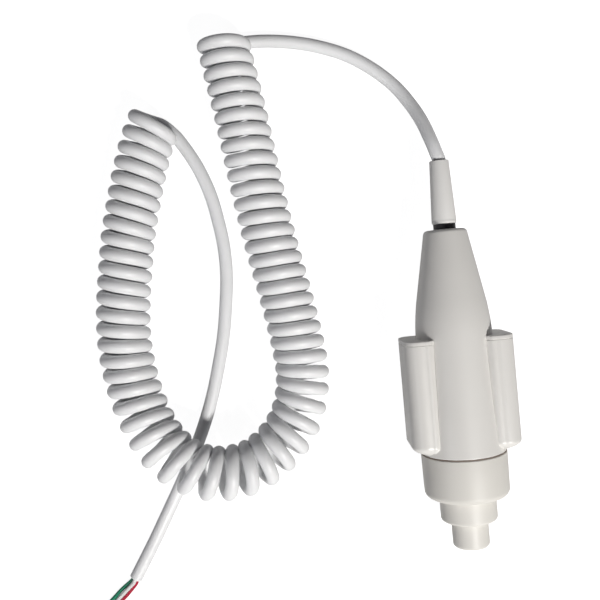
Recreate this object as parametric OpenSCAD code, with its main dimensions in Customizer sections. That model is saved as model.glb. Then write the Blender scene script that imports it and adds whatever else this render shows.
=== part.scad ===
// Two-stage exposure hand switch on a curly cord, with its cord laid on a table.
// Frame: +Y runs along the handle towards the cord, +X to the right, +Z up.
// The origin is under the middle of the handle, on the surface it lies on. Millimetres.

/* [Housing] */
// Length of the housing from the collar seam to its cord end
body_len = 90; // [86:0.1:110]
// Radius of the housing at the collar seam
body_r = 17.1; // [16.8:0.1:21]
// Radius of the housing where the taper to the cord starts
waist_r = 15.2; // [14.8:0.1:17]
// Distance from the cord end to the start of the taper
taper_len = 36; // [32:1:42]
// Radius of the housing at its cord end
nose_r = 8.6; // [8.4:0.1:10]
// Rounding of the edge at the cord end
nose_round = 1.8; // [0.5:0.1:2.5]

/* [Ears] */
// Length of each ear along the handle
ear_len = 45.5; // [34:0.5:50]
// Distance from the collar seam to the ears
ear_gap = 1.2; // [1:0.1:10]
// Radius of an ear's rounded front and back
ear_r = 6; // [5:0.1:7]
// Distance between the outer sides of the two ears
ear_span = 43.6; // [41:0.1:52]
// Depth of an ear from front to back
ear_depth = 27; // [20:0.5:32]
// Rounding of an ear's outer corner next to the collar
ear_corner = 3.5; // [2:0.5:6]

/* [Collar] */
// Length of the collar
collar_len = 18.1; // [16:0.1:22]
// Outer radius of the collar
collar_r = 17.3; // [16.8:0.1:21]
// Thickness of the collar's end wall
collar_end = 2.5; // [2:0.1:3]
// Rounding of the collar's outer edge
collar_round = 2.6; // [1:0.1:3.5]
// Thickness of the gasket in the seam
gasket_t = 0.5; // [0.3:0.1:1]

/* [Buttons] */
// Radius of the outer button, the sleeve
sleeve_r = 11.4; // [10.5:0.1:11.4]
// Length of the sleeve outside the collar
sleeve_out = 9.9; // [8:0.1:12]
// Radius of the inner button, the tip
tip_r = 7.4; // [6:0.1:7.6]
// Length of the tip outside the sleeve
tip_out = 11.4; // [10:0.1:16]
// Travel of the tip in the sleeve, the first stage
tip_travel = 3.5; // [2:0.1:4]
// Travel of the sleeve in the collar, the second stage
sleeve_travel = 4; // [2:0.1:4.5]
// Radius of the rod that the tip pushes
rod_r = 1.9; // [1.5:0.1:2.2]

/* [Cord] */
// Diameter of the cord's jacket
cord_d = 5.5; // [5:0.1:6]
// Outer diameter of the curly stretch
coil_d = 22.3; // [20:0.1:23]
// Diameter of one insulated core
core_d = 1.7; // [1.2:0.1:1.8]
// Length of the boot outside the housing, past its neck
boot_len = 25.8; // [20:0.1:34]
// Length of the boot's neck outside the housing
boot_neck = 2.3; // [2:0.1:5]
// Radius of the boot where it is widest
boot_r = 5; // [4.5:0.1:5.5]
// Radius of the boot at its free end
boot_end_r = 3.9; // [3.5:0.05:4.3]

/* [Fits] */
// Radial clearance of a sliding fit
run_fit = 0.08; // [0.03:0.01:0.1]
// Radial clearance of pieces that are pressed or clamped together
seat_fit = 0.05; // [0.02:0.01:0.1]
// Gap between a button's flange and its stop
stop_gap = 0.2; // [0.1:0.1:0.5]
// Gap between a moving contact and its blades
contact_gap = 0.3; // [0.2:0.1:0.5]

/* [Hidden] */
$fn = 96;

shell = [0.85, 0.84, 0.82];
cream = [0.88, 0.87, 0.83];
jacket = [0.9, 0.9, 0.91];
brass = [0.79, 0.64, 0.33];

// places along the handle, from the tip button to the boot
axis_z = collar_r;
handle_len = tip_out + sleeve_out + collar_len + body_len + boot_neck + boot_len;
y_tip = -handle_len / 2;
y_sleeve = y_tip + tip_out;
y_collar = y_sleeve + sleeve_out;
y_seam = y_collar + collar_len;
y_nose = y_seam + body_len;
y_boot = y_nose + boot_neck;
y_exit = y_boot + boot_len;

// buttons: lip, flanges and the bore that holds the tip
lip_t = 2;
flange_t = 1.5;
sleeve_wall = 1.8;
sleeve_bore = sleeve_r - sleeve_wall;
sleeve_flange = sleeve_r + 1.6;
y_sleeve_flange = y_collar + collar_end + stop_gap;
y_tip_flange = y_sleeve + lip_t + stop_gap;
plate_t = 2;
ring_t = 1.5;
tip_wire_r = 0.45;
tip_spring_r = sleeve_bore - 0.6 - tip_wire_r;
sleeve_wire_r = 0.5;
sleeve_spring_r = sleeve_bore + 0.2 + sleeve_wire_r;

// stack that the collar clamps: bush, spacer, carrier
spigot_r = collar_r - 2.2;
stack_r = sleeve_flange + 0.35;
core_r = stack_r + 0.1;
flange_room = 0.4;
y_bush = y_sleeve_flange + flange_t + sleeve_travel + flange_room;
bush_flange_t = 1.5;
y_spigot = y_bush + bush_flange_t;
bush_len = 5.5;
y_spacer = y_bush + bush_len;
y_sleeve_back = y_spacer - ring_t - 0.1;
spring_room = 15;
carrier_t = 2;
y_carrier = y_sleeve_back + ring_t + spring_room;
y_shoulder = y_carrier + carrier_t;
cage_len = 17;
y_cage = y_shoulder + cage_len;
y_tails = y_cage + carrier_t + 3;
rear_r = stack_r - 0.85;

// contacts
blade_t = 0.5;
blade_w = 4;
disc_r = 4.5;
disc_t = 1.2;
clip_t = 0.6;
y_disc = y_shoulder + 1;
first_x = disc_r + contact_gap;
second_z = sleeve_r - seat_fit + contact_gap;
post_r = 1.4;
post_at = (rear_r - post_r - 0.3) * cos(45);

// cavity of the housing towards the cord
nose_wall = 6;
nose_cavity = nose_r - 1.8;
cavity_taper = 28;
boot_flange = boot_r + 1.2;
boot_flange_t = 2;
neck_r = boot_r - 0.5;
crimp_len = 6;
crimp_wall = 1.5;
inner_len = 22;

// routes of the cord, its coil and its cores, on the table
cord_r = cord_d / 2;
coil_r = coil_d / 2;
lead_route = [
    [0, y_exit, axis_z], [0, y_exit + 0.8, axis_z], [-0.9, y_exit + 3.6, axis_z - 0.1],
    [-2.1, y_exit + 8.3, axis_z - 1.3], [-4.5, y_exit + 17.5, 11.6], [-8, y_exit + 26, 7.2],
    [-13.6, y_exit + 34.8, 4.2], [-22.2, y_exit + 43.1, 3], [-33, 128.8, 2.9], [-45, 133.5, 2.9],
    [-56, 136.2, 2.9], [-67, 137.6, 2.9], [-76.5, 137.7, 2.9]];
coil_route = [
    [-84, 137.5, 11.2], [-82.6, 127, 11.2], [-80.8, 116, 11.2], [-78.9, 104, 11.2],
    [-76.9, 89, 11.2], [-74.4, 71, 11.2], [-71.3, 52, 11.2], [-67.8, 34, 11.2],
    [-64.8, 17, 11.2], [-63.2, 5, 11.2], [-62.8, -4, 11.2], [-64.2, -13.5, 11.2],
    [-67.8, -23, 11.5], [-74.5, -31.5, 12.6], [-83.5, -38, 14.3], [-93, -40.5, 16.2],
    [-103.4, -40, 17.5], [-112.3, -36.3, 17.7], [-119.5, -30.6, 16.6], [-125.5, -22.7, 14.3],
    [-130.4, -12, 12.1], [-133.5, 0, 11.2], [-135, 12, 11.2], [-135, 23, 11.2], [-134, 34, 11.2],
    [-132, 47, 11.2], [-130, 59, 11.2], [-127, 71, 11.2], [-124, 82, 11.2], [-120.3, 93.5, 11.2],
    [-117.6, 100.3, 11.2], [-114.6, 106.3, 11.2]];
tail_route = [
    [-115, 106.6, 3], [-112.3, 104.8, 2.9], [-109.4, 101.9, 2.9], [-106.2, 97.9, 2.9],
    [-100, 87, 2.9], [-95.5, 75, 2.9], [-93, 63, 2.9], [-91.5, 51, 2.9], [-91.5, 39, 2.9],
    [-93, 26, 2.9], [-95, 14, 2.9], [-98, 2, 2.9], [-101.5, -10, 2.9], [-106, -22, 2.9],
    [-111.5, -34, 2.9], [-117.7, -46, 2.9], [-124.6, -58.2, 2.9], [-132, -71, 2.9],
    [-140.8, -85.3, 2.9]];
tail_end = tail_route[len(tail_route) - 1];
tail_dir = unit(tail_end - tail_route[len(tail_route) - 2]);
tail_side = [tail_dir[1], -tail_dir[0], 0];
green_route = [[-143.4, -87, 2], [-147.6, -90.3, 1.3], [-152.4, -94.7, 1.1], [-158.5, -100, 1.1]];
white_route = [[-142.3, -87.6, 3.3], [-146.4, -91.4, 2.4], [-151.1, -95.9, 1.3], [-155.8, -102, 1.1]];
red_route = [[-141.5, -88.4, 2], [-145.4, -92.6, 1.4], [-149.8, -97.1, 1.1], [-152.6, -104.2, 1.1]];
strip_len = 6;
strand_r = core_d / 2 - 0.35;
core_offset = core_d / 2 / cos(30) + 0.02;

function unit(v) = v / norm(v);

// direction of a route at point i
function tangent(p, i) = unit(p[min(i + 1, len(p) - 1)] - p[max(i - 1, 0)]);

// one ring of points round the route, square to it at its ends as well
function ring_at(p, i, r, sides, up) =
    let (t = tangent(p, i), n = unit(cross(t, up)), b = cross(n, t))
    [for (k = [0 : sides - 1]) p[i] + r * (cos(360 * k / sides) * n + sin(360 * k / sides) * b)];

// three core places in the jacket's end, 0 to 2, seen along the cord
function core_place(k) = [for (a = [90 + 120 * k]) core_offset * [cos(a), sin(a)]][0];

// a quadratic curve from a to c, pulled towards b
function bend(a, b, c, steps) =
    [for (k = [0 : steps]) let (t = k / steps)
        (1 - t) * (1 - t) * a + 2 * t * (1 - t) * b + t * t * c];

// a quarter circle of radius r about m, from angle a0 to a1
function arc(m, r, a0, a1, steps) =
    [for (k = [0 : steps]) let (a = a0 + (a1 - a0) * k / steps) m + r * [cos(a), sin(a)]];

// a closed tube along a route
module tube(p, r, sides = 10, up = [0, 0, 1]) {
    n = len(p);
    points = [for (i = [0 : n - 1]) each ring_at(p, i, r, sides, up)];
    walls = [for (i = [0 : n - 2], k = [0 : sides - 1])
        let (m = (k + 1) % sides)
        [i * sides + k, i * sides + m, (i + 1) * sides + m, (i + 1) * sides + k]];
    first = [for (k = [sides - 1 : -1 : 0]) k];
    last = [for (k = [0 : sides - 1]) (n - 1) * sides + k];
    polyhedron(points = points, faces = concat([first], walls, [last]), convexity = 10);
}

// a route's own module turned so that its +Z runs along the handle from y
module along(y) translate([0, y, axis_z]) rotate([-90, 0, 0]) children();

module disc(y0, y1, r) along(y0) cylinder(r = r, h = y1 - y0);

module ring(y0, y1, outer, inner) difference() {
    disc(y0, y1, outer);
    disc(y0 - 1, y1 + 1, inner);
}

// a solid of revolution about the handle's axis from [radius, distance past y] points
module turned(y, outline) along(y) rotate_extrude() polygon(outline);

// a compression spring between y0 and y1, with closed round wire
module spring(y0, y1, mean_r, wire_r, turns) {
    steps = 14;
    rise = y1 - y0 - 2 * wire_r - 0.04;
    tube([for (k = [0 : turns * steps])
        [mean_r * cos(360 * k / steps),
         y0 + wire_r + 0.02 + rise * k / (turns * steps),
         axis_z + mean_r * sin(360 * k / steps)]], wire_r, 8, [0, 1, 0]);
}

// outer shape of one ear, on the +X side
module ear() {
    x_mid = ear_span / 2 - ear_r;
    z_mid = ear_depth / 2 - ear_r;
    y0 = y_seam + ear_gap;
    intersection() {
        translate([0, y0, axis_z]) rotate([-90, 0, 0]) linear_extrude(ear_len) {
            for (s = [-1, 1]) translate([x_mid, s * z_mid]) circle(ear_r);
            translate([x_mid - ear_r, -z_mid]) square([2 * ear_r, 2 * z_mid]);
        }
        linear_extrude(2 * axis_z) {
            translate([0, y0]) square([ear_span / 2 - ear_corner, ear_len]);
            translate([0, y0 + ear_corner]) square([ear_span / 2, ear_len - ear_corner]);
            translate([ear_span / 2 - ear_corner, y0 + ear_corner]) circle(ear_corner);
        }
    }
}

module housing() color(shell) difference() {
    union() {
        turned(y_seam, concat(
            [[0, y_spigot - y_seam], [spigot_r, y_spigot - y_seam], [spigot_r, 0], [body_r, 0]],
            bend([waist_r + 0.2, body_len - taper_len - 7], [waist_r, body_len - taper_len],
                [waist_r - 1.2, body_len - taper_len + 7], 6),
            arc([nose_r - nose_round, body_len - nose_round], nose_round, 10, 90, 5),
            [[0, body_len]]));
        ear();
        mirror([1, 0, 0]) ear();
    }
    disc(y_spigot - 1, y_shoulder, core_r);
    turned(y_shoulder - 0.5, [[0, 0], [rear_r, 0],
        [rear_r, y_nose - nose_wall - cavity_taper - y_shoulder + 0.5],
        [nose_cavity, y_nose - nose_wall - y_shoulder + 0.5], [0, y_nose - nose_wall - y_shoulder + 0.5]]);
    disc(y_nose - nose_wall - 1, y_nose + 1, neck_r + seat_fit);
}

module collar() color(cream) difference() {
    turned(y_collar, concat(
        [[0, 0]],
        arc([collar_r - collar_round - 0.25, collar_round], collar_round, -90, 0, 6),
        [[collar_r, collar_len - gasket_t], [0, collar_len - gasket_t]]));
    disc(y_collar - 1, y_collar + collar_end + 1, sleeve_r + 0.35);
    disc(y_collar + collar_end, y_bush, stack_r);
    disc(y_bush, y_seam + 1, spigot_r + seat_fit);
}

module seam_gasket() color([0.2, 0.18, 0.18])
    ring(y_seam - gasket_t, y_seam, collar_r - 0.5, spigot_r + seat_fit);

module guide_bush() color([0.25, 0.25, 0.27]) difference() {
    union() {
        disc(y_bush, y_spigot, spigot_r);
        disc(y_bush, y_spacer, stack_r);
    }
    disc(y_bush - 1, y_spacer + 1, sleeve_r + run_fit);
}

module spacer_tube() color([0.3, 0.3, 0.32]) ring(y_spacer, y_carrier, stack_r, rear_r);

module sleeve_button() color(cream) difference() {
    union() {
        turned(y_sleeve, concat(
            [[0, 0]],
            arc([sleeve_r - 1.2, 1.2], 1.2, -90, 0, 5),
            [[sleeve_r, y_sleeve_back - y_sleeve], [0, y_sleeve_back - y_sleeve]]));
        disc(y_sleeve_flange, y_sleeve_flange + flange_t, sleeve_flange);
    }
    disc(y_sleeve - 1, y_sleeve + lip_t + 1, tip_r + run_fit);
    disc(y_sleeve + lip_t, y_sleeve_back + 1, sleeve_bore);
}

module sleeve_retainer() color([0.25, 0.25, 0.27])
    ring(y_sleeve_back - plate_t, y_sleeve_back, sleeve_bore - seat_fit, rod_r + run_fit);

module sleeve_contact() color(brass)
    ring(y_sleeve_back, y_sleeve_back + ring_t, sleeve_r - seat_fit, sleeve_bore);

module sleeve_spring() color("silver")
    spring(y_sleeve_back + ring_t, y_carrier, sleeve_spring_r, sleeve_wire_r, 6);

module tip_button() color(cream) difference() {
    union() {
        turned(y_tip, concat(
            [[0, 0]],
            arc([tip_r - 1.9, 1.7], 1.7, -90, 0, 5),
            [[tip_r, tip_out], [tip_r, tip_out + lip_t + stop_gap + flange_t],
             [0, tip_out + lip_t + stop_gap + flange_t]]));
        disc(y_tip_flange, y_tip_flange + flange_t, sleeve_bore - run_fit);
    }
    disc(y_sleeve - 4.5, y_tip_flange + flange_t + 1, rod_r + seat_fit);
}

module tip_spring() color("silver")
    spring(y_tip_flange + flange_t, y_sleeve_back - plate_t, tip_spring_r, tip_wire_r, 7);

module contact_rod() color([0.75, 0.75, 0.72]) difference() {
    disc(y_sleeve - 4.5, y_disc + disc_t + clip_t + 0.8, rod_r);
    for (y = [y_disc - clip_t, y_disc + disc_t]) ring(y, y + clip_t, rod_r + 1, rod_r - 0.35);
}

module rod_contact() color(brass) ring(y_disc, y_disc + disc_t, disc_r, rod_r + seat_fit);

module rod_clips() color("gray") for (y = [y_disc - clip_t, y_disc + disc_t]) difference() {
    ring(y + 0.02, y + clip_t - 0.02, rod_r + 1.1, rod_r - 0.3);
    translate([-0.8, y - 1, axis_z]) cube([1.6, clip_t + 2, rod_r + 2]);
}

// one blade's outline along the handle, made g wider all round for its slot
module first_blade(side, y0, y1, g = 0)
    translate([side * (first_x + blade_t / 2) - blade_t / 2 - g, y0, axis_z - blade_w / 2 - g])
        cube([blade_t + 2 * g, y1 - y0, blade_w + 2 * g]);

module second_blade(side, y0, y1, g = 0)
    translate([-blade_w / 2 - g, y0, axis_z + side * (second_z + blade_t / 2) - blade_t / 2 - g])
        cube([blade_w + 2 * g, y1 - y0, blade_t + 2 * g]);

module contact_carrier() color([0.16, 0.16, 0.18]) difference() {
    union() {
        disc(y_carrier, y_shoulder, stack_r);
        disc(y_cage, y_cage + carrier_t, rear_r - 0.15);
        for (x = [-1, 1], z = [-1, 1]) translate([x * post_at, 0, z * post_at])
            disc(y_carrier + 0.5, y_cage + carrier_t - 0.5, post_r);
    }
    disc(y_carrier - 1, y_shoulder + 1, rod_r + 0.4);
    for (s = [-1, 1]) {
        first_blade(s, y_cage - 1, y_cage + carrier_t + 1, seat_fit);
        second_blade(s, y_carrier - 1, y_cage + carrier_t + 1, seat_fit);
        translate([-blade_w / 2 - seat_fit, y_cage - 1, axis_z + s * (second_z + 2) - 2 + seat_fit])
            cube([blade_w + 2 * seat_fit, carrier_t + 2, 4]);
    }
}

module first_stage_blades() color(brass)
    for (s = [-1, 1]) first_blade(s, y_disc + disc_t + 2.3, y_tails);

module second_stage_blades() color(brass)
    for (s = [-1, 1]) second_blade(s, y_spacer + 1.5, y_tails);

// flat strip that joins the left first-stage tail to the upper second-stage tail
module common_link() color(brass) {
    strip_w = 1.6;
    y = y_tails - 1.2;
    translate([-first_x, y, axis_z - 1]) cube([strip_w, 1, second_z + 1 - strip_w / 2]);
    translate([strip_w / 2 - first_x, y, axis_z + second_z - strip_w])
        cube([first_x + blade_w / 2 - strip_w / 2, 1, strip_w]);
}

module strain_relief() color(shell) difference() {
    turned(y_nose, [
        [0, -nose_wall - boot_flange_t], [boot_flange, -nose_wall - boot_flange_t],
        [boot_flange, -nose_wall], [neck_r, -nose_wall], [neck_r, boot_neck],
        [boot_r - 0.4, boot_neck], [boot_r, boot_neck + 0.4], [boot_end_r, boot_neck + boot_len - 0.8],
        [boot_end_r - 0.6, boot_neck + boot_len], [0, boot_neck + boot_len]]);
    disc(y_nose - nose_wall - boot_flange_t - 1, y_exit + 1, cord_r + seat_fit);
}

module crimp_ring() color("silver") {
    y1 = y_nose - nose_wall - boot_flange_t;
    ring(y1 - crimp_len, y1, cord_r + crimp_wall, cord_r + seat_fit);
}

module inner_cord() color(jacket) disc(y_nose - inner_len, y_exit, cord_r);

// a core inside the housing, from its place k in the jacket to a blade's tail
module inner_wire(k, x, z) {
    y0 = y_nose - inner_len;
    c = core_place(k);
    dy = y0 - y_tails;
    tube([[c[0], y0, axis_z + c[1]],
          [c[0], y0 - 2, axis_z + c[1]],
          [c[0] + 0.2 * (x - c[0]), y0 - 0.3 * dy, axis_z + c[1] + 0.2 * (z - c[1])],
          [c[0] + 0.5 * (x - c[0]), y0 - 0.5 * dy, axis_z + c[1] + 0.5 * (z - c[1])],
          [c[0] + 0.8 * (x - c[0]), y0 - 0.7 * dy, axis_z + c[1] + 0.8 * (z - c[1])],
          [x, y_tails + 3, axis_z + z],
          [x, y_tails, axis_z + z]], core_d / 2, 8);
}

module inner_wire_green() color("green") inner_wire(1, 0, 0.3 - second_z);
module inner_wire_white() color("white") inner_wire(0, 0, second_z - 0.3);
module inner_wire_red() color("red") inner_wire(2, first_x + blade_t / 2, 0);

module cord_lead() color(jacket) tube(lead_route, cord_r);

module cord_coil() color(jacket) tube(coil_route, coil_r, 12);

module cord_tail() color(jacket) tube(tail_route, cord_r);

// a core past the jacket's cut end, starting at its place k there
function core_start(k) = tail_end - core_place(k)[0] * tail_side + [0, 0, core_place(k)[1]];

function core_route(k, route) = concat(
    [core_start(k), core_start(k) + 1.2 * tail_dir], route);

module core(k, route) tube(core_route(k, route), core_d / 2, 8);

module wire_green() color("green") core(1, green_route);
module wire_white() color("white") core(0, white_route);
module wire_red() color("red") core(2, red_route);

// the copper strands past the end of each core
module bare_strands() color([0.8, 0.5, 0.3]) for (r = [green_route, white_route, red_route]) {
    end = r[len(r) - 1];
    way = unit(end - r[len(r) - 2]);
    tube([end, end + strip_len * way], strand_r, 8);
}

housing();
collar();
seam_gasket();
guide_bush();
spacer_tube();
sleeve_button();
sleeve_retainer();
sleeve_contact();
sleeve_spring();
tip_button();
tip_spring();
contact_rod();
rod_contact();
rod_clips();
contact_carrier();
first_stage_blades();
second_stage_blades();
common_link();
strain_relief();
crimp_ring();
inner_cord();
inner_wire_green();
inner_wire_white();
inner_wire_red();
cord_lead();
cord_coil();
cord_tail();
wire_green();
wire_white();
wire_red();
bare_strands();
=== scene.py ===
import math

import bmesh
import bpy
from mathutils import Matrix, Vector


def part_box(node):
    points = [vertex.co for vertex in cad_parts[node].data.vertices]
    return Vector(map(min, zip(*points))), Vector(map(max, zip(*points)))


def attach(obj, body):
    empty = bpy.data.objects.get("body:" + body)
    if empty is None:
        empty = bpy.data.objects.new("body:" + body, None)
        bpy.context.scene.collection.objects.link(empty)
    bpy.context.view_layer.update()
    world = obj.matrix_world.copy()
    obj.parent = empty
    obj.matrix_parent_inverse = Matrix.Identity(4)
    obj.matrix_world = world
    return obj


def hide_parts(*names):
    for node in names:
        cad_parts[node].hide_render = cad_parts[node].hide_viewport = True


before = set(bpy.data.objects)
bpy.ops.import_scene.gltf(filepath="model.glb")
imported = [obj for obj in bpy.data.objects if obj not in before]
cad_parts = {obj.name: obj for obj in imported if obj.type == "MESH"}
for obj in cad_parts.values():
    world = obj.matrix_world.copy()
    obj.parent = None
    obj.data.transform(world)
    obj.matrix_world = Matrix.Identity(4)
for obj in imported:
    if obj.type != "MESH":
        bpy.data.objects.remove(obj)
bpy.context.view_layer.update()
mm = 0.001

# places along the handle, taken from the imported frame
collarBox, sleeveBox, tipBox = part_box("collar"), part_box("sleeve_button"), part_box("tip_button")
bootBox, gasketBox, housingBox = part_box("strain_relief"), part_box("seam_gasket"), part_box("housing")
axisZ = (collarBox[0][2] + collarBox[1][2]) / 2
tipFace = tipBox[0][1]
sleeveFace = sleeveBox[0][1]
collarFace = collarBox[0][1]
seam = gasketBox[1][1]
noseFace = housingBox[1][1]
cordExit = bootBox[1][1]


# small tools
def smoothRun(points, steps):
    # a smooth line through every point, as a Catmull-Rom spline
    ends = [2 * points[0] - points[1]] + points + [2 * points[-1] - points[-2]]
    run = []
    for a, b, c, d in zip(ends, ends[1:], ends[2:], ends[3:]):
        for k in range(steps):
            t = k / steps
            run.append((2 * b + (c - a) * t + (2 * a - 5 * b + 4 * c - d) * t ** 2
                        + (3 * b - a - 3 * c + d) * t ** 3) / 2)
    return run + [points[-1]]


def ease(low, high, x):
    t = min(max((x - low) / (high - low), 0), 1)
    return t * t * (3 - 2 * t)


def softened(corners, steps=6):
    # an outline whose corners are rounded by their third number
    line = []
    for k, (x, y, soft) in enumerate(corners):
        here = Vector((x, y))
        if soft == 0:
            line.append((x, y))
            continue
        a = (Vector(corners[k - 1][:2]) - here).normalized()
        b = (Vector(corners[(k + 1) % len(corners)][:2]) - here).normalized()
        half = a.angle(b) / 2
        centre = here + (a + b).normalized() * soft / math.sin(half)
        start = here + a * soft / math.tan(half) - centre
        end = here + b * soft / math.tan(half) - centre
        sweep = start.angle(end)
        for i in range(steps + 1):
            t = i / steps
            swung = start * math.sin((1 - t) * sweep) + end * math.sin(t * sweep)
            line.append(tuple(centre + swung / math.sin(sweep)))
    return line


def piece(name, bm, material, body, sharp=35):
    # a finished mesh: smooth, with its corners kept crisp
    bmesh.ops.recalc_face_normals(bm, faces=bm.faces)
    for face in bm.faces:
        face.smooth = True
    for edge in bm.edges:
        edge.smooth = len(edge.link_faces) == 2 and edge.calc_face_angle(0) < math.radians(sharp)
    mesh = bpy.data.meshes.new(name)
    bm.to_mesh(mesh)
    bm.free()
    made = bpy.data.objects.new(name, mesh)
    bpy.context.collection.objects.link(made)
    made.data.materials.append(material)
    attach(made, body)
    return made


def spun(outline, steps=160):
    # a closed outline of (radius, place) spun about the handle's axis
    bm = bmesh.new()
    ring = [bm.verts.new((r, y, axisZ)) for r, y in outline]
    edges = [bm.edges.new(pair) for pair in zip(ring, ring[1:] + ring[:1])]
    bmesh.ops.spin(bm, geom=ring + edges, cent=(0, 0, axisZ), axis=(0, 1, 0), dvec=(0, 0, 0),
                   angle=2 * math.pi, steps=steps, use_merge=True, use_duplicate=False)
    bmesh.ops.remove_doubles(bm, verts=bm.verts, dist=1e-7)
    return bm


def cable(name, runs, radius, material, body, roundness=8):
    # one curve of open lines, as thick as the cable
    curve = bpy.data.curves.new(name, "CURVE")
    curve.dimensions = "3D"
    curve.bevel_depth = radius
    curve.bevel_resolution = roundness
    curve.use_fill_caps = True
    for run in runs:
        line = curve.splines.new("POLY")
        line.points.add(len(run) - 1)
        for point, place in zip(line.points, run):
            point.co = (*place, 1)
        line.use_smooth = True
    made = bpy.data.objects.new(name, curve)
    bpy.context.collection.objects.link(made)
    curve.materials.append(material)
    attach(made, body)
    return made


# effects that several materials share
def effectGroup(name, inputs, outputs):
    group = bpy.data.node_groups.new(name, "ShaderNodeTree")
    for label, kind, value in inputs:
        socket = group.interface.new_socket(name=label, in_out="INPUT", socket_type=kind)
        if value is not None:
            socket.default_value = value
    for label, kind in outputs:
        group.interface.new_socket(name=label, in_out="OUTPUT", socket_type=kind)
    return group, group.nodes.new("NodeGroupInput"), group.nodes.new("NodeGroupOutput")


def join(tree, *pairs):
    for a, b in pairs:
        tree.links.new(a, b)


def noise(tree, vector, scale, detail, rough=0.5):
    node = tree.nodes.new("ShaderNodeTexNoise")
    node.inputs["Detail"].default_value = detail
    node.inputs["Roughness"].default_value = rough
    if isinstance(scale, (int, float)):
        node.inputs["Scale"].default_value = scale
    else:
        tree.links.new(scale, node.inputs["Scale"])
    tree.links.new(vector, node.inputs["Vector"])
    return node


def span(tree, value, low, high, toLow, toHigh):
    node = tree.nodes.new("ShaderNodeMapRange")
    for label, number in (("From Min", low), ("From Max", high), ("To Min", toLow), ("To Max", toHigh)):
        if isinstance(number, (int, float)):
            node.inputs[label].default_value = number
        else:
            tree.links.new(number, node.inputs[label])
    tree.links.new(value, node.inputs["Value"])
    return node.outputs["Result"]


def mouldedGrain():
    # fine spark-eroded texture with a slow ripple, as an injection mould leaves it
    tree, given, out = effectGroup(
        "mouldedGrain",
        [("Vector", "NodeSocketVector", None), ("Fine", "NodeSocketFloat", 5000),
         ("Ripple", "NodeSocketFloat", 120), ("Ripple share", "NodeSocketFloat", 0.5)],
        [("Height", "NodeSocketFloat")])
    fine = noise(tree, given.outputs["Vector"], given.outputs["Fine"], 3, 0.6)
    slow = noise(tree, given.outputs["Vector"], given.outputs["Ripple"], 2)
    mix = tree.nodes.new("ShaderNodeMix")
    join(tree, (given.outputs["Ripple share"], mix.inputs["Factor"]), (fine.outputs["Fac"], mix.inputs[2]),
         (slow.outputs["Fac"], mix.inputs[3]), (mix.outputs[0], out.inputs["Height"]))
    return tree


def handling():
    # slow mottling and sparse scuffs from use, both as masks
    tree, given, out = effectGroup(
        "handling",
        [("Vector", "NodeSocketVector", None), ("Mottle size", "NodeSocketFloat", 60),
         ("Scuff size", "NodeSocketFloat", 260)],
        [("Mottle", "NodeSocketFloat"), ("Scuffs", "NodeSocketFloat")])
    mottle = noise(tree, given.outputs["Vector"], given.outputs["Mottle size"], 4)
    stretch = tree.nodes.new("ShaderNodeMapping")
    stretch.inputs["Scale"].default_value = (1, 0.12, 1)
    stretch.inputs["Rotation"].default_value = (0.3, 0.2, 0.7)
    tree.links.new(given.outputs["Vector"], stretch.inputs["Vector"])
    scuff = noise(tree, stretch.outputs["Vector"], given.outputs["Scuff size"], 5, 0.65)
    join(tree, (span(tree, mottle.outputs["Fac"], 0.3, 0.7, 0, 1), out.inputs["Mottle"]),
         (span(tree, scuff.outputs["Fac"], 0.6, 0.75, 0, 1), out.inputs["Scuffs"]))
    return tree


def wear():
    # paler or darker colour by two masks, with the roughness that goes with them
    tree, given, out = effectGroup(
        "wear",
        [("Colour", "NodeSocketColor", (0.8, 0.8, 0.8, 1)), ("Shade", "NodeSocketColor", (0.7, 0.7, 0.7, 1)),
         ("Mottle", "NodeSocketFloat", 0), ("Scuffs", "NodeSocketFloat", 0),
         ("Smooth", "NodeSocketFloat", 0.3), ("Rough", "NodeSocketFloat", 0.45)],
        [("Colour", "NodeSocketColor"), ("Roughness", "NodeSocketFloat")])
    mix = tree.nodes.new("ShaderNodeMix")
    mix.data_type = "RGBA"
    add = tree.nodes.new("ShaderNodeMath")
    add.operation = "ADD"
    add.use_clamp = True
    half = tree.nodes.new("ShaderNodeMath")
    half.operation = "MULTIPLY"
    half.inputs[1].default_value = 0.5
    rough = span(tree, add.outputs[0], 0, 1, given.outputs["Smooth"], given.outputs["Rough"])
    join(tree, (given.outputs["Mottle"], mix.inputs["Factor"]), (given.outputs["Colour"], mix.inputs["A"]),
         (given.outputs["Shade"], mix.inputs["B"]), (mix.outputs["Result"], out.inputs["Colour"]),
         (given.outputs["Mottle"], half.inputs[0]), (half.outputs[0], add.inputs[0]),
         (given.outputs["Scuffs"], add.inputs[1]), (rough, out.inputs["Roughness"]))
    return tree


effects = {"grain": mouldedGrain(), "handling": handling(), "wear": wear()}


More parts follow.
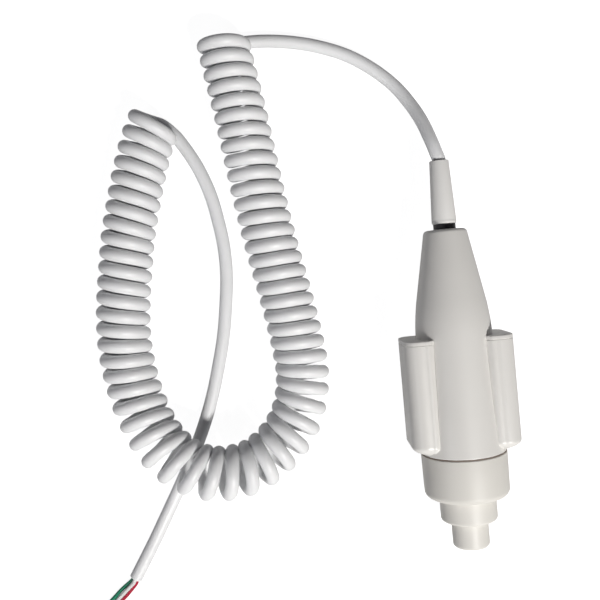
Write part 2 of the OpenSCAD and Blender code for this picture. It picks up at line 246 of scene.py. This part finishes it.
def surface(name, look):
    # a Principled material whose colour, roughness and bump come from the shared effects
    material = bpy.data.materials.new(name)
    material.use_nodes = True
    tree = material.node_tree
    shader = tree.nodes["Principled BSDF"]
    shader.inputs["IOR"].default_value = look.get("ior", 1.5)
    shader.inputs["Metallic"].default_value = look.get("metal", 0)
    shader.inputs["Coat Weight"].default_value = look.get("coat", 0)
    shader.inputs["Coat Roughness"].default_value = look.get("coatRough", 0.1)
    shader.inputs["Subsurface Weight"].default_value = look.get("depth", 0)
    shader.inputs["Subsurface Radius"].default_value = (1, 1, 1)
    shader.inputs["Subsurface Scale"].default_value = mm
    place = tree.nodes.new("ShaderNodeTexCoord").outputs["Object"]
    grain, use, worn = (tree.nodes.new("ShaderNodeGroup") for k in range(3))
    grain.node_tree, use.node_tree, worn.node_tree = effects["grain"], effects["handling"], effects["wear"]
    grain.inputs["Fine"].default_value = look.get("fine", 5000)
    grain.inputs["Ripple"].default_value = look.get("ripple", 120)
    grain.inputs["Ripple share"].default_value = look.get("rippleShare", 0.5)
    use.inputs["Mottle size"].default_value = look.get("mottle", 60)
    worn.inputs["Colour"].default_value = (*look["colour"], 1)
    worn.inputs["Shade"].default_value = (*look["shade"], 1)
    worn.inputs["Smooth"].default_value, worn.inputs["Rough"].default_value = look["rough"]
    bump = tree.nodes.new("ShaderNodeBump")
    bump.inputs["Strength"].default_value = look.get("bump", 0.1)
    bump.inputs["Distance"].default_value = look.get("bumpDepth", 0.05) * mm
    join(tree, (place, grain.inputs["Vector"]), (place, use.inputs["Vector"]),
         (use.outputs["Mottle"], worn.inputs["Mottle"]), (use.outputs["Scuffs"], worn.inputs["Scuffs"]),
         (worn.outputs["Colour"], shader.inputs["Base Color"]),
         (worn.outputs["Roughness"], shader.inputs["Roughness"]),
         (grain.outputs["Height"], bump.inputs["Height"]), (bump.outputs["Normal"], shader.inputs["Normal"]))
    return material


print("materials")
looks = {
    "shellWhite": {"colour": (0.78, 0.765, 0.735), "shade": (0.76, 0.745, 0.715), "rough": (0.34, 0.48),
                   "fine": 4200, "ripple": 90, "bump": 0.12, "coat": 0.08, "coatRough": 0.3},
    "collarCream": {"colour": (0.74, 0.72, 0.675), "shade": (0.72, 0.70, 0.655), "rough": (0.48, 0.58),
                    "fine": 3600, "ripple": 110, "bump": 0.06, "coat": 0.03, "coatRough": 0.3},
    "buttonCream": {"colour": (0.76, 0.74, 0.695), "shade": (0.74, 0.72, 0.675), "rough": (0.48, 0.58),
                    "fine": 3600, "ripple": 130, "bump": 0.05, "coat": 0.03, "coatRough": 0.3},
    "bootWhite": {"colour": (0.80, 0.79, 0.77), "shade": (0.78, 0.77, 0.75), "rough": (0.42, 0.56),
                  "fine": 5200, "ripple": 200, "bump": 0.14},
    "cordWhite": {"colour": (0.82, 0.825, 0.83), "shade": (0.805, 0.81, 0.82), "rough": (0.42, 0.52),
                  "fine": 1500, "ripple": 300, "rippleShare": 0.7, "bump": 0.12, "mottle": 90, "coat": 0.05,
                  "coatRough": 0.25, "depth": 0.6},
    # near-black painted shade for the boot's neck, standing in for the shadow the housing's nose casts on it
    "neckPaintedShade": {"colour": (0.085, 0.08, 0.085), "shade": (0.07, 0.065, 0.07), "rough": (0.4, 0.5)},
    "gasketDark": {"colour": (0.26, 0.21, 0.175), "shade": (0.23, 0.185, 0.155), "rough": (0.6, 0.75)},
    "blackPlastic": {"colour": (0.035, 0.035, 0.04), "shade": (0.03, 0.03, 0.034), "rough": (0.42, 0.55),
                     "bump": 0.2},
    "springSteel": {"colour": (0.62, 0.62, 0.63), "shade": (0.55, 0.55, 0.57),
                    "rough": (0.25, 0.4), "metal": 1},
    "rodPlastic": {"colour": (0.62, 0.62, 0.6), "shade": (0.58, 0.58, 0.56), "rough": (0.4, 0.5)},
    "contactBrass": {"colour": (0.79, 0.62, 0.30), "shade": (0.70, 0.52, 0.24),
                     "rough": (0.22, 0.4), "metal": 1},
    "crimpSteel": {"colour": (0.58, 0.58, 0.59), "shade": (0.5, 0.5, 0.52),
                   "rough": (0.3, 0.45), "metal": 1},
    "coreGreen": {"colour": (0.004, 0.23, 0.12), "shade": (0.004, 0.2, 0.105),
                  "rough": (0.3, 0.42), "coat": 0.2},
    "coreWhite": {"colour": (0.74, 0.74, 0.73), "shade": (0.7, 0.7, 0.69),
                  "rough": (0.3, 0.42), "coat": 0.2},
    "coreRed": {"colour": (0.45, 0.003, 0.035), "shade": (0.4, 0.003, 0.03),
                "rough": (0.3, 0.42), "coat": 0.2},
    "copper": {"colour": (0.78, 0.36, 0.2), "shade": (0.62, 0.26, 0.14), "rough": (0.25, 0.4), "metal": 1,
               "mottle": 900},
}
finish = {name: surface(name, look) for name, look in looks.items()}

# camera
print("camera")
shot = {"over": (-0.0600, 0.0405), "height": 0.335, "turn": -4.915, "lens": 46.8, "shiftY": -0.055}
lens = bpy.data.cameras.new("camera")
lens.lens, lens.sensor_width, lens.shift_y = shot["lens"], 36, shot["shiftY"]
lens.clip_start = 0.01
camera = bpy.data.objects.new("camera", lens)
camera.location = (*shot["over"], shot["height"])
camera.rotation_euler = (0, 0, math.radians(shot["turn"]))
bpy.context.collection.objects.link(camera)
bpy.context.scene.camera = camera

# the cord, one line from the boot to its stripped end
print("cord")
cordLook = {"diameter": 5.5 * mm, "curl": 22.3 * mm, "length": 3.4, "turns": 58, "perTurn": 32,
            "pitches": [(0, 6.05), (72, 6.05), (82, 5.82), (138, 5.82),  # wider round the bend
                        (160, 7.25), (244, 7.25), (264, 6.06)]}
leadRoute = [
    (0, 78.75, 17.3), (0, 79.55, 17.3), (-0.9, 82.35, 17.2), (-2.1, 87.05, 16), (-4.5, 96.25, 11.6),
    (-8, 104.75, 7.2), (-13.6, 113.55, 4.2), (-22.2, 121.85, 3), (-33, 128.8, 2.9), (-45, 133.5, 2.9),
    (-56, 136.2, 2.9), (-67, 137.6, 2.9), (-76.5, 137.7, 2.9)]
coilRoute = [
    (-84, 137.5, 11.2), (-82.6, 127, 11.2), (-80.8, 116, 11.2), (-78.9, 104, 11.2), (-76.9, 89, 11.2),
    (-74.4, 71, 11.2), (-71.3, 52, 11.2), (-67.8, 34, 11.2), (-64.8, 17, 11.2), (-63.2, 5, 11.2),
    (-62.8, -4, 11.2), (-64.2, -13.5, 11.2), (-67.8, -23, 11.5), (-74.5, -31.5, 12.6), (-83.5, -38, 14.3),
    (-93, -40.5, 16.2), (-103.4, -40, 17.5), (-112.3, -36.3, 17.7), (-119.5, -30.6, 16.6),
    (-125.5, -22.7, 14.3), (-130.4, -12, 12.1), (-133.5, 0, 11.2), (-135, 12, 11.2), (-135, 23, 11.2),
    (-134, 34, 11.2), (-132, 47, 11.2), (-130, 59, 11.2), (-127, 71, 11.2), (-124, 82, 11.2),
    (-120.3, 93.5, 11.2), (-117.6, 100.3, 11.2), (-114.6, 106.3, 11.2)]
tailRoute = [
    (-112.3, 104.8, 2.9), (-109.4, 101.9, 2.9), (-106.2, 97.9, 2.9), (-100, 87, 2.9), (-95.5, 75, 2.9),
    (-93, 63, 2.9), (-91.5, 51, 2.9), (-91.5, 39, 2.9), (-93, 26, 2.9), (-95, 14, 2.9), (-98, 2, 2.9),
    (-101.5, -10, 2.9), (-106, -22, 2.9), (-111.5, -34, 2.9), (-117.7, -46, 2.9), (-124.6, -58.2, 2.9),
    (-132, -71, 2.9), (-140.8, -85.3, 2.9)]


def inMetres(route):
    return [Vector(place) * mm for place in route]


def between(stops, x):
    # the value at x of stops that are eased into each other
    for (a, low), (b, high) in zip(stops, stops[1:]):
        if x < b:
            return low + (high - low) * ease(a, b, x)
    return stops[-1][1]


def curlTurns(centre, look):
    # a left-handed helix about the centre line, from the table to the table
    swing = (look["curl"] - look["diameter"]) / 2
    walked, phases = [0], [0]
    for a, b in zip(centre, centre[1:]):
        step = (b - a).length / mm
        phases.append(phases[-1] + step / between(look["pitches"], walked[-1]))
        walked.append(walked[-1] + step)
    stretch = look["turns"] / phases[-1]
    print(f"curl: {walked[-1]:.1f} mm long, {phases[-1]:.2f} turns at the named pitch")
    turns, k = [], 0
    for i in range(look["turns"] * look["perTurn"] + 1):
        phase = i / look["perTurn"]
        while k < len(centre) - 2 and phases[k + 1] * stretch < phase:
            k += 1
        part = (phase - phases[k] * stretch) / ((phases[k + 1] - phases[k]) * stretch)
        middle = centre[k].lerp(centre[k + 1], part)
        along = (centre[min(k + 2, len(centre) - 1)] - centre[max(k - 1, 0)]).normalized()
        up = (Vector((0, 0, 1)) - along * along.z).normalized()
        side = along.cross(up)
        angle = 2 * math.pi * phase
        turns.append(middle + swing * (side * math.sin(angle) - up * math.cos(angle)))
    return turns


curl = curlTurns(smoothRun(inMetres(coilRoute), 12), cordLook)
lead = smoothRun(inMetres(leadRoute) + curl[:2], 8)[:-9]
tail = smoothRun(curl[-2:] + inMetres(tailRoute), 8)[9:]
cordLine = lead + curl + tail
cordRadius = cordLook["diameter"] / 2
cord = cable("cord", [cordLine], cordRadius, finish["cordWhite"], "housing")
cordMeasured = sum((b - a).length for a, b in zip(cordLine, cordLine[1:]))
print(f"cord: {cordMeasured:.3f} m")

# the three cores and their copper
print("cores")
coreLook = {"radius": 0.85 * mm, "ring": 1.0 * mm, "strip": 6 * mm, "strands": 7, "strandRadius": 0.11 * mm,
            "strandRing": 0.27 * mm, "lay": 7 * mm, "spread": 0.9, "buried": 0.3, "uneven": 0.05}
coreRoutes = {
    "Green": (1, [(-143.4, -87, 2), (-147.6, -90.3, 1.3), (-152.4, -94.7, 1.1), (-158.5, -100, 1.1)]),
    "White": (0, [(-142.3, -87.6, 3.3), (-146.4, -91.4, 2.4), (-151.1, -95.9, 1.3), (-155.8, -102, 1.1)]),
    "Red": (2, [(-141.5, -88.4, 2), (-145.4, -92.6, 1.4), (-149.8, -97.1, 1.1), (-152.6, -104.2, 1.1)])}
cutEnd = cordLine[-1]
cutWay = (cordLine[-1] - cordLine[-2]).normalized()
cutSide = Vector((cutWay.y, -cutWay.x, 0))
cores, strandRuns = [], []
for colour, (spot, route) in coreRoutes.items():
    around = math.radians(90 + 120 * spot)
    start = cutEnd + coreLook["ring"] * (Vector((0, 0, 1)) * math.sin(around) - cutSide * math.cos(around))
    run = smoothRun([start - 2 * mm * cutWay, start, start + 1.2 * mm * cutWay] + inMetres(route), 10)
    cores.append(cable("core" + colour, [run], coreLook["radius"], finish["core" + colour], "housing", 5))
    way = (run[-1] - run[-2]).normalized()
    side, up = way.cross(Vector((0, 0, 1))).normalized(), Vector((0, 0, 1))
    for k in range(coreLook["strands"]):
        offset = 0 if k == 0 else coreLook["strandRing"]
        strand = []
        for i in range(13):
            part = i / 12 * (1 + coreLook["buried"]) - coreLook["buried"]
            gone = coreLook["strip"] * part * (1 - coreLook["uneven"] * (k % 3))
            turn = 2 * math.pi * (k / (coreLook["strands"] - 1) + gone / coreLook["lay"])
            reach = offset * (1 + coreLook["spread"] * max(gone / coreLook["strip"], 0) ** 2)
            strand.append(run[-1] + way * gone + reach * (side * math.cos(turn) + up * math.sin(turn)))
        strandRuns.append(strand)
strands = cable("copperStrands", strandRuns, coreLook["strandRadius"], finish["copper"], "housing", 2)
for core, node in zip(cores, ("wire_green", "wire_white", "wire_red")):
    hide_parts(node)
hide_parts("bare_strands")
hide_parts("cord_lead", "cord_coil", "cord_tail")

# housing with its two hanging shoulders
print("housing")
shell = {"seamR": 17.1, "waistR": 15.2, "taper": 36, "noseR": 8.6, "noseSoft": 1.8, "neckR": 4.55,
         "swell": (7, 0.2, 1.2), "spigotR": 15.1, "coreR": 13.45, "rearR": 12.5, "noseCavity": 6.8,
         "noseWall": 6, "cavityTaper": 28, "carrierT": 2, "spin": 256}
ear = {"span": 43.6, "r": 6, "depth": 27, "gap": 1.2, "length": 45.5, "brow": (13.2, 10.9, 2.5),
       "topSoft": 0.45, "line": 1.7, "lineDepth": 0.22, "lineHalf": 0.2, "blend": 0.3, "endBlend": 1.6,
       "endFrom": 0.9, "endRun": 3.9, "endDeep": 6.0, "endPower": 2.2, "groove": 0.8, "grooveHalf": 0.8,
       "crease": (34, 52), "dense": 6}
spigotFace = housingBox[0][1]
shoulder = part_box("contact_carrier")[0][1] + shell["carrierT"] * mm
earTop = seam + (ear["gap"] + ear["length"]) * mm


def shellOutline():
    bodyLen = (noseFace - seam) / mm
    waistR, waistAt, (run, wider, slimmer) = shell["waistR"], bodyLen - shell["taper"], shell["swell"]
    a, b, c = (waistR + wider, waistAt - run), (waistR, waistAt), (waistR - slimmer, waistAt + run)
    swell = [((1 - t) ** 2 * a[0] + 2 * t * (1 - t) * b[0] + t * t * c[0],
              (1 - t) ** 2 * a[1] + 2 * t * (1 - t) * b[1] + t * t * c[1])
             for t in (k / 10 for k in range(11))]
    cavityEnd = bodyLen - shell["noseWall"]
    spigot, rear = (spigotFace - seam) / mm, (shoulder - seam) / mm
    corners = [(shell["seamR"], 0, 0.35)] + [(r, y, 0) for r, y in swell] + [
        (shell["noseR"], bodyLen, shell["noseSoft"]), (shell["neckR"], bodyLen, 0.3),
        (shell["neckR"], cavityEnd, 0), (shell["noseCavity"], cavityEnd, 0),
        (shell["rearR"], cavityEnd - shell["cavityTaper"], 0), (shell["rearR"], rear, 0),
        (shell["coreR"], rear, 0), (shell["coreR"], spigot, 0), (shell["spigotR"], spigot, 0.3),
        (shell["spigotR"], 0, 0)]
    return [(r * mm, seam + y * mm) for r, y in softened(corners)]


def crowded(turn):
    # the same turn, with more of the spin's lines near the shoulders' creases
    low, high = ear["crease"]
    quarter = turn % 90
    flip = int(turn // 90) % 2
    quarter = 90 - quarter if flip else quarter
    total = low + (high - low) * ear["dense"] + 90 - high
    walked = quarter / 90 * total
    if walked < low:
        bent = walked
    elif walked < low + (high - low) * ear["dense"]:
        bent = low + (walked - low) / ear["dense"]
    else:
        bent = walked - (high - low) * (ear["dense"] - 1)
    return turn // 90 * 90 + (90 - bent if flip else bent)


def blended(a, b, width):
    return max(a, b) + max(width - abs(a - b), 0) ** 2 / (4 * width)


def circleReach(c, s, x, z, r):
    # how far out a circle's far side lies from the axis, in the direction (c, s)
    reach = x * c + z * s
    root = reach ** 2 - x ** 2 - z ** 2 + max(r, 0) ** 2
    return reach + (math.sqrt(root) if root > 0 else -3 * math.sqrt(-root)) + 2 * min(r, 0)


def earReach(angle, inset):
    # the same for the shoulder's whole outline, drawn in by the inset
    c, s = abs(math.cos(angle)), abs(math.sin(angle))
    if c < 0.5:
        return 0
    middleX, middleZ = ear["span"] / 2 - ear["r"], ear["depth"] / 2 - ear["r"]
    flat = (ear["span"] / 2 - inset) / c
    if flat * s <= middleZ:
        return flat
    browX, browZ, browR = ear["brow"]
    return blended(circleReach(c, s, middleX, middleZ, ear["r"] - inset),
                   circleReach(c, s, browX, browZ, browR - inset), 0.5)


def endInset(past):
    # how far the shoulder is drawn in at its rounded end, by the distance past the end's start
    if past < 0:
        return ear["endDeep"] - 3 * past
    return ear["endDeep"] * max(1 - past / ear["endRun"], 0) ** ear["endPower"]


def makeHousing():
    bm = spun(shellOutline(), shell["spin"])
    # rings along the shoulders, close together where their ends are rounded
    fromSeam = [0.6, 0.9, 1.2, 1.5, 1.8, 2.1, 2.4, 2.8, 3.2, 3.6, 4.1, 4.6, 5.1, 5.6, 6.0, 6.3, 7, 8.5, 11]
    fromSeam += range(14, 44, 3)
    fromTop = [0, 0.05, 0.13, 0.25, 0.45, 1.2, 2.4]
    fromTop += [ear["line"] - ear["lineHalf"], ear["line"], ear["line"] + ear["lineHalf"]]
    cuts = [seam + d * mm for d in fromSeam] + [earTop - d * mm for d in fromTop] + [earTop + 0.01 * mm]
    for y in cuts:
        bmesh.ops.bisect_plane(bm, geom=bm.verts[:] + bm.edges[:] + bm.faces[:], dist=1e-8,
                               plane_co=(0, y, 0), plane_no=(0, 1, 0))
    for v in bm.verts:
        out = math.hypot(v.co.x, v.co.z - axisZ)
        turn = math.radians(crowded(math.degrees(math.atan2(v.co.z - axisZ, v.co.x)) % 360))
        past, below = (v.co.y - seam) / mm - ear["endFrom"], (earTop - v.co.y) / mm
        if out > (shell["spigotR"] + 0.1) * mm and past > 0.5 - ear["endFrom"] and below > -0.005:
            inset = endInset(past)
            if below < ear["topSoft"]:
                soft = ear["topSoft"]
                inset += soft - math.sqrt(soft ** 2 - (soft - max(below, 0)) ** 2)
            inset += ear["lineDepth"] * max(1 - abs(below - ear["line"]) / ear["lineHalf"], 0)
            width = ear["blend"] + (ear["endBlend"] - ear["blend"]) * (1 - ease(0, 6, past))
            body, reach = out / mm, earReach(turn, inset)
            crease = ear["groove"] * max(1 - abs(body - reach) / ear["grooveHalf"], 0) * ease(2, 7, past)
            out = (blended(body, reach, width) - crease) * mm
        v.co.x, v.co.z = out * math.cos(turn), axisZ + out * math.sin(turn)
    return piece("housingShell", bm, finish["shellWhite"], "housing", 32)


housing = makeHousing()
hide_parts("housing")

# collar and the dark gasket in its seam
print("collar and buttons")
collarLook = {"r": 17.3, "draft": 0.25, "soft": 2.8, "bore": 11.7, "lip": 0.35, "wall": 2.5,
              "stackR": 13.35, "bushAt": 8.6, "spigotR": 15.15, "seamDeep": 0.2}


def makeCollar():
    look, length = collarLook, (collarBox[1][1] - collarFace) / mm
    corners = [(look["bore"], 0, look["lip"]), (look["r"] - look["draft"], 0, look["soft"]),
               (look["r"], length, 0.3), (look["spigotR"], length, 0), (look["spigotR"], look["bushAt"], 0),
               (look["stackR"], look["bushAt"], 0), (look["stackR"], look["wall"], 0),
               (look["bore"], look["wall"], 0)]
    return piece("collarShell", spun([(r * mm, collarFace + y * mm) for r, y in softened(corners, 9)]),
                 finish["collarCream"], "housing")


collar = makeCollar()
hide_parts("collar")


def makeGasket():
    low, high = gasketBox[0][1] / mm, gasketBox[1][1] / mm
    inner, outer = collarLook["spigotR"], collarLook["r"] - collarLook["seamDeep"]
    corners = [(inner, low, 0), (outer, low, 0.1), (outer, high, 0.1), (inner, high, 0)]
    return piece("seamGasket", spun([(r * mm, y * mm) for r, y in softened(corners, 4)]),
                 finish["gasketDark"], "housing")


gasket = makeGasket()
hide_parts("seam_gasket")

# the two buttons
stopGap = 0.2  # between a button's flange and its stop
sleeveLook = {"r": 11.4, "soft": 1.3, "bore": 7.48, "lip": 2, "lipSoft": 0.25, "tube": 9.6, "flange": 13,
              "flangeAt": (collarFace - sleeveFace) / mm + collarLook["wall"] + stopGap, "flangeT": 1.5}
tipLook = {"r": 7.4, "soft": 1.6, "crown": 0.35, "crownR": 3.5, "flange": 9.52,
           "flangeAt": (sleeveFace - tipFace) / mm + sleeveLook["lip"] + stopGap,
           "hole": 1.95, "holeAt": (sleeveFace - tipFace) / mm - 4.5, "pinhole": 0.02}


def makeSleeve():
    look, length = sleeveLook, (sleeveBox[1][1] - sleeveFace) / mm
    flangeEnd = look["flangeAt"] + look["flangeT"]
    corners = [(look["bore"], 0, look["lipSoft"]), (look["r"], 0, look["soft"]),
               (look["r"], look["flangeAt"], 0), (look["flange"], look["flangeAt"], 0.2),
               (look["flange"], flangeEnd, 0.2), (look["r"], flangeEnd, 0), (look["r"], length, 0.2),
               (look["tube"], length, 0), (look["tube"], look["lip"], 0), (look["bore"], look["lip"], 0)]
    return piece("sleeveButton", spun([(r * mm, sleeveFace + y * mm) for r, y in softened(corners)]),
                 finish["buttonCream"], "sleeve")


def makeTip():
    look, length = tipLook, (tipBox[1][1] - tipFace) / mm
    steps = (look["pinhole"], 1.2, 2.4, look["crownR"])
    crown = [(r, look["crown"] * (r / look["crownR"]) ** 2, 0) for r in steps]
    corners = crown + [(look["r"], look["crown"] + 0.12, look["soft"]), (look["r"], look["flangeAt"], 0),
                       (look["flange"], look["flangeAt"], 0.2), (look["flange"], length, 0.2),
                       (look["hole"], length, 0), (look["hole"], look["holeAt"], 0),
                       (look["pinhole"], look["holeAt"], 0)]
    bm = spun([(r * mm, tipFace + y * mm) for r, y in softened(corners)], 128)
    pinholes = [v for v in bm.verts if math.hypot(v.co.x, v.co.z - axisZ) < 2.5 * look["pinhole"] * mm]
    bmesh.ops.remove_doubles(bm, verts=pinholes, dist=5 * look["pinhole"] * mm)  # closes the spin's two poles
    bmesh.ops.dissolve_degenerate(bm, edges=bm.edges, dist=1e-7)
    return piece("tipButton", bm, finish["buttonCream"], "tip")


sleeve, tip = makeSleeve(), makeTip()
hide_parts("sleeve_button")
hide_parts("tip_button")

# boot over the cord
print("boot")
bootLook = {"neckR": 4.5, "neck": 2.3, "r": 5, "endR": 3.9, "bore": 2.8, "flangeR": 6.2, "flangeT": 2,
            "wall": 6, "rim": 1.5, "rimLine": 0.07, "rimHalf": 0.2, "mouth": 0.4, "mouthDeep": 0.9}


def makeBoot():
    look, length = bootLook, (cordExit - noseFace) / mm
    rim, back = look["neck"] + look["rim"], -look["wall"]
    corners = [(look["bore"], back - look["flangeT"], 0), (look["flangeR"], back - look["flangeT"], 0),
               (look["flangeR"], back, 0), (look["neckR"], back, 0), (look["neckR"], look["neck"], 0),
               (look["r"], look["neck"], 0.7), (look["r"], rim - look["rimHalf"], 0),
               (look["r"] - look["rimLine"], rim, 0), (look["r"] - 0.03, rim + look["rimHalf"], 0),
               (look["endR"], length, 0.35), (look["bore"] + look["mouth"], length, 0.12),
               (look["bore"], length - look["mouthDeep"], 0)]
    bm = spun([(r * mm, noseFace + y * mm) for r, y in softened(corners, 5)], 96)
    boot = piece("cordBoot", bm, finish["bootWhite"], "housing")
    # the neck's faces get the near-black painted shade, in place of the nose's shadow on them
    boot.data.materials.append(finish["neckPaintedShade"])
    for face in boot.data.polygons:
        out = math.hypot(face.center.x, face.center.z - axisZ)
        if face.center.y < noseFace + look["neck"] * mm - 1e-6 and out < (look["neckR"] + 0.3) * mm:
            face.material_index = 1
    return boot


boot = makeBoot()
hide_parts("strain_relief")

# finishes of the frame's own pieces, inside the handle
print("inner pieces")
innerFinish = {
    "blackPlastic": ["guide_bush", "spacer_tube", "sleeve_retainer", "contact_carrier"],
    "springSteel": ["sleeve_spring", "tip_spring", "rod_clips"],
    "contactBrass": ["sleeve_contact", "rod_contact", "first_stage_blades", "second_stage_blades",
                     "common_link"],
    "rodPlastic": ["contact_rod"], "crimpSteel": ["crimp_ring"], "cordWhite": ["inner_cord"],
    "coreGreen": ["inner_wire_green"], "coreWhite": ["inner_wire_white"], "coreRed": ["inner_wire_red"]}
for name, nodes in innerFinish.items():
    for node in nodes:
        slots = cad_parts[node].data.materials
        slots.clear()
        slots.append(finish[name])

# table, light
print("table and lights")
table = {"size": 3.0, "colour": (0.35, 0.35, 0.35), "seenGlow": 0.93, "castGlow": 0.2}
bm = bmesh.new()
bmesh.ops.create_grid(bm, x_segments=2, y_segments=2, size=table["size"] / 2)
floorMesh = bpy.data.meshes.new("table")
bm.to_mesh(floorMesh)
bm.free()
floor = bpy.data.objects.new("table", floorMesh)
bpy.context.collection.objects.link(floor)
paper = bpy.data.materials.new("tablePaper")
paper.use_nodes = True
paperShader = paper.node_tree.nodes["Principled BSDF"]
paperShader.inputs["Base Color"].default_value = (*table["colour"], 1)
paperShader.inputs["Roughness"].default_value = 0.9
paperShader.inputs["Emission Color"].default_value = (1, 1, 1, 1)
seen = paper.node_tree.nodes.new("ShaderNodeLightPath").outputs["Is Camera Ray"]
join(paper.node_tree, (span(paper.node_tree, seen, 0, 1, table["castGlow"], table["seenGlow"]),
                       paperShader.inputs["Emission Strength"]))
floor.data.materials.append(paper)

lamps = {
    "key": {"at": (0.42, -0.86, 1.2), "to": (-0.03, 0.02, 0), "size": 0.2, "watts": 22.5,
            "colour": (1, 0.985, 0.96)},
    "fill": {"at": (-1.2, -0.6, 1.1), "to": (-0.05, 0.03, 0), "size": 1, "watts": 5,
             "colour": (0.96, 0.97, 1)},
}
for name, lamp in lamps.items():
    light = bpy.data.lights.new(name, "AREA")
    light.shape = "DISK"
    light.size, light.energy, light.color = lamp["size"], lamp["watts"], lamp["colour"]
    holder = bpy.data.objects.new(name, light)
    holder.location = lamp["at"]
    holder.rotation_euler = (Vector(lamp["to"]) - Vector(lamp["at"])).to_track_quat("-Z", "Y").to_euler()
    bpy.context.collection.objects.link(holder)
world = bpy.data.worlds.new("room")
world.use_nodes = True
world.node_tree.nodes["Background"].inputs["Color"].default_value = (0.86, 0.83, 1, 1)
world.node_tree.nodes["Background"].inputs["Strength"].default_value = 0.04
bpy.context.scene.world = world
bpy.context.scene.view_settings.view_transform = "Standard"
